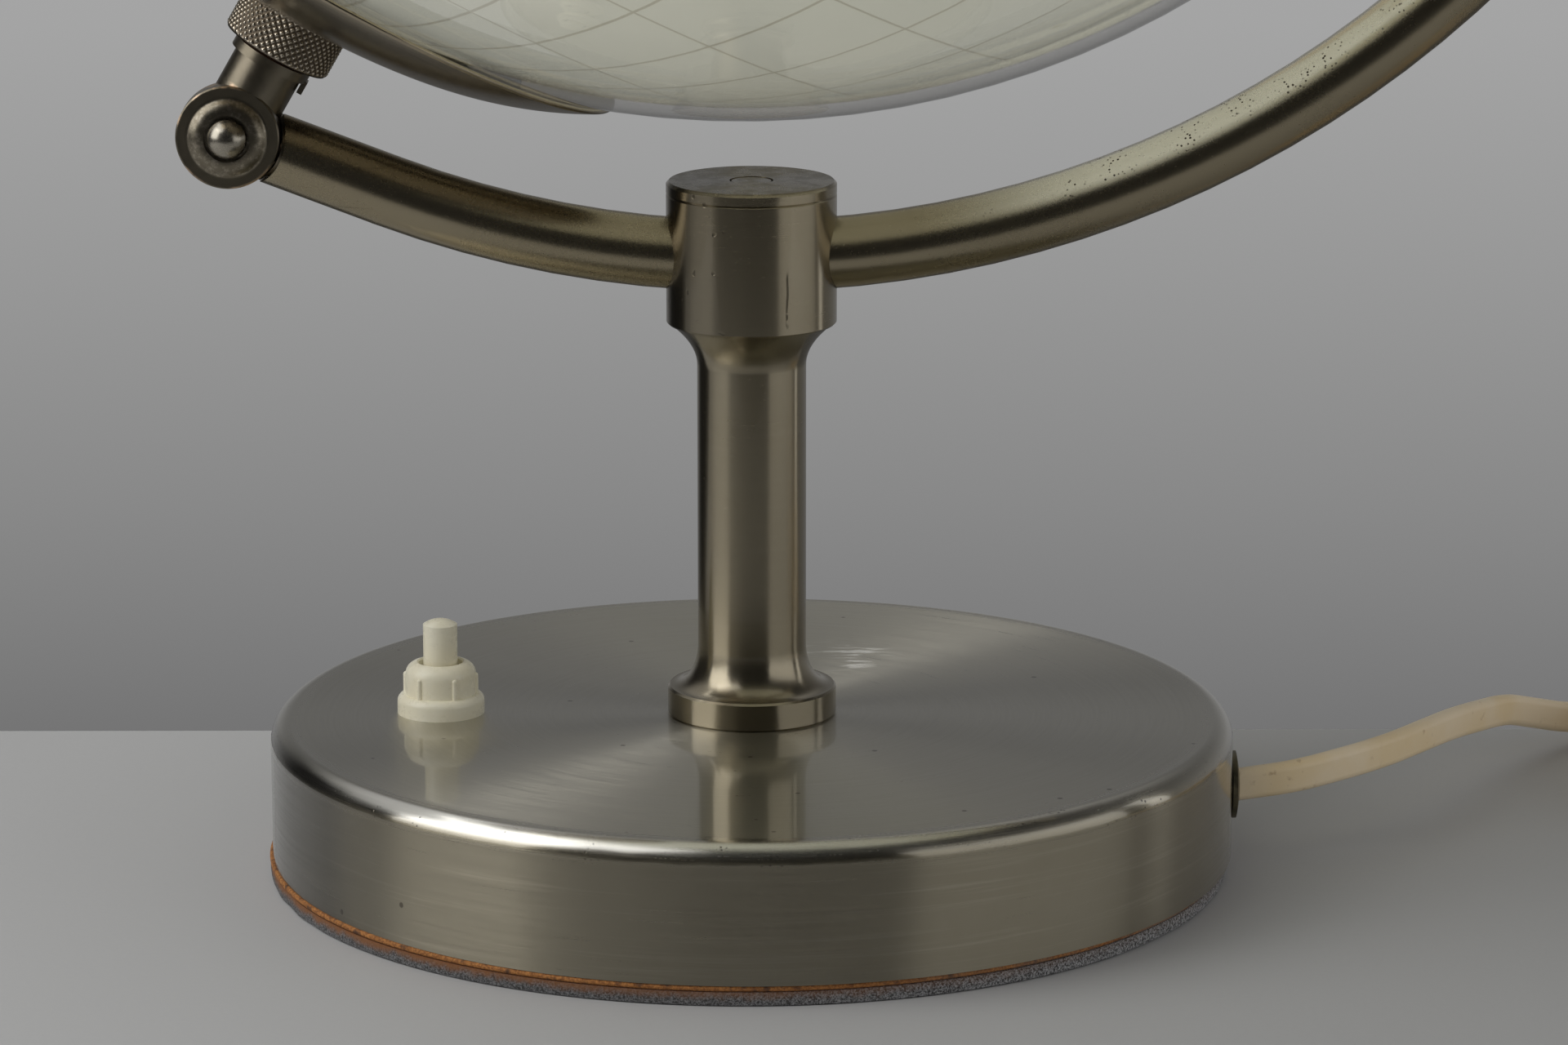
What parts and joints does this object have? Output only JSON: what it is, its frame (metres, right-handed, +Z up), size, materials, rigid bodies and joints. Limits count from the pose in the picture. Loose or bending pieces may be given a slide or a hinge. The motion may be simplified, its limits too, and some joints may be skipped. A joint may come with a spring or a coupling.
{
  "type": "illuminated globe",
  "caption": "Lit glass globe on a bent tube arm and a weighted round stand, with a swivel joint at its south pole, a push switch and a mains cord.",
  "frame": {"origin": "middle of the foot, on the surface that the stand rests on", "axes": "+Z up, +X to the right in the plane of the arm (the ball's south pole leans to -X), +Y away from the front"},
  "size_m": [0.4466, 0.3352, 0.5075],
  "materials": {
    "felt": "matt pressed felt",
    "rusty_steel": "rusted sheet",
    "plain_steel": "zinc plated",
    "cast_iron": "as cast",
    "base_nickel": "satin nickel, turned top and brushed side",
    "column_nickel": "satin nickel, turned",
    "arm_nickel": "satin nickel tube, pitted on top",
    "joint_nickel": "worn dark nickel",
    "rivet": "polished dome",
    "knurl_nickel": "diamond knurl",
    "dish_nickel": "satin nickel, spun",
    "outlet_metal": "dark dull brass",
    "lamp_brass": "plain",
    "globe_glass": "clear polished",
    "map_opal": "opal white with a printed map",
    "bulb_frost": "frosted",
    "fibre": "vulcanised fibre",
    "black_rubber": "matt",
    "switch_cream": "moulded cream plastic",
    "brown_plastic": "moulded brown",
    "cord_cream": "yellowed cream sheath",
    "wire_sheath": "thin sheath",
    "pin_metal": "plated pins"
  },
  "bodies": {
    "stand": {"felt_pad": "felt", "bottom_plate": "rusty_steel", "bottom_screws": "plain_steel", "ballast_weight": "cast_iron", "base_shell": "base_nickel", "tie_tube": "plain_steel", "tie_nut": "plain_steel", "tie_washer": "plain_steel", "column": "column_nickel", "hub": "column_nickel", "arm_set_screw": "plain_steel", "hub_plug": "column_nickel", "meridian_arm": "arm_nickel", "arm_tip": "arm_nickel", "joint_arm_half": "joint_nickel", "pivot_bolt": "rivet", "pivot_nut": "plain_steel", "joint_washer": "fibre", "cord_grommet": "outlet_metal", "grommet_nut": "plain_steel", "cord_clamp": "plain_steel", "clamp_screws": "plain_steel", "inner_cord": "cord_cream", "feed_wires": "wire_sheath", "switch_lead": "wire_sheath", "switch_body": "brown_plastic", "switch_terminals": "lamp_brass", "switch_nut": "switch_cream", "switch_spring": "plain_steel", "cord_lead": "cord_cream", "cord_coil": "cord_cream", "cord_tail": "cord_cream", "plug_body": "cord_cream", "plug_pins": "pin_metal"},
    "swing": {"joint_neck_half": "joint_nickel", "tab_washer": "joint_nickel", "thrust_washer": "fibre", "lamp_tube": "plain_steel", "holder_nut": "plain_steel", "lamp_holder": "brown_plastic", "bulb_cap": "lamp_brass", "bulb_glass": "bulb_frost"},
    "ball": {"glass_ball": "globe_glass", "map_layer": "map_opal", "south_dish": "dish_nickel", "dish_gasket": "black_rubber", "clamp_bar": "plain_steel", "bar_pads": "black_rubber", "axis_bush": "lamp_brass", "knurled_collar": "knurl_nickel", "north_cap": "dish_nickel", "north_gasket": "black_rubber", "north_washer": "black_rubber", "north_nut": "plain_steel", "north_axle": "plain_steel", "north_spool": "joint_nickel", "north_knob": "knurl_nickel"},
    "button": {"switch_button": "switch_cream"}
  },
  "joints": [
    {"name": "globe_swing", "type": "hinge", "parent": "stand", "child": "swing", "pos_m": [-0.10075, 0, 0.14674], "axis": [0, -1, 0], "range_deg": [0, 35]},
    {"name": "globe_spin", "type": "hinge", "parent": "swing", "child": "ball", "pos_m": [-0.00148, 0, 0.31869], "axis": [0.5, 0, 0.866], "continuous": true},
    {"name": "button_press", "type": "slide", "parent": "stand", "child": "button", "axis": [0, 0, -1], "range_m": [0, 0.003], "stiffness_N_per_m": 300, "springref_m": -0.003, "deforming": ["switch_spring"]}
  ]
}
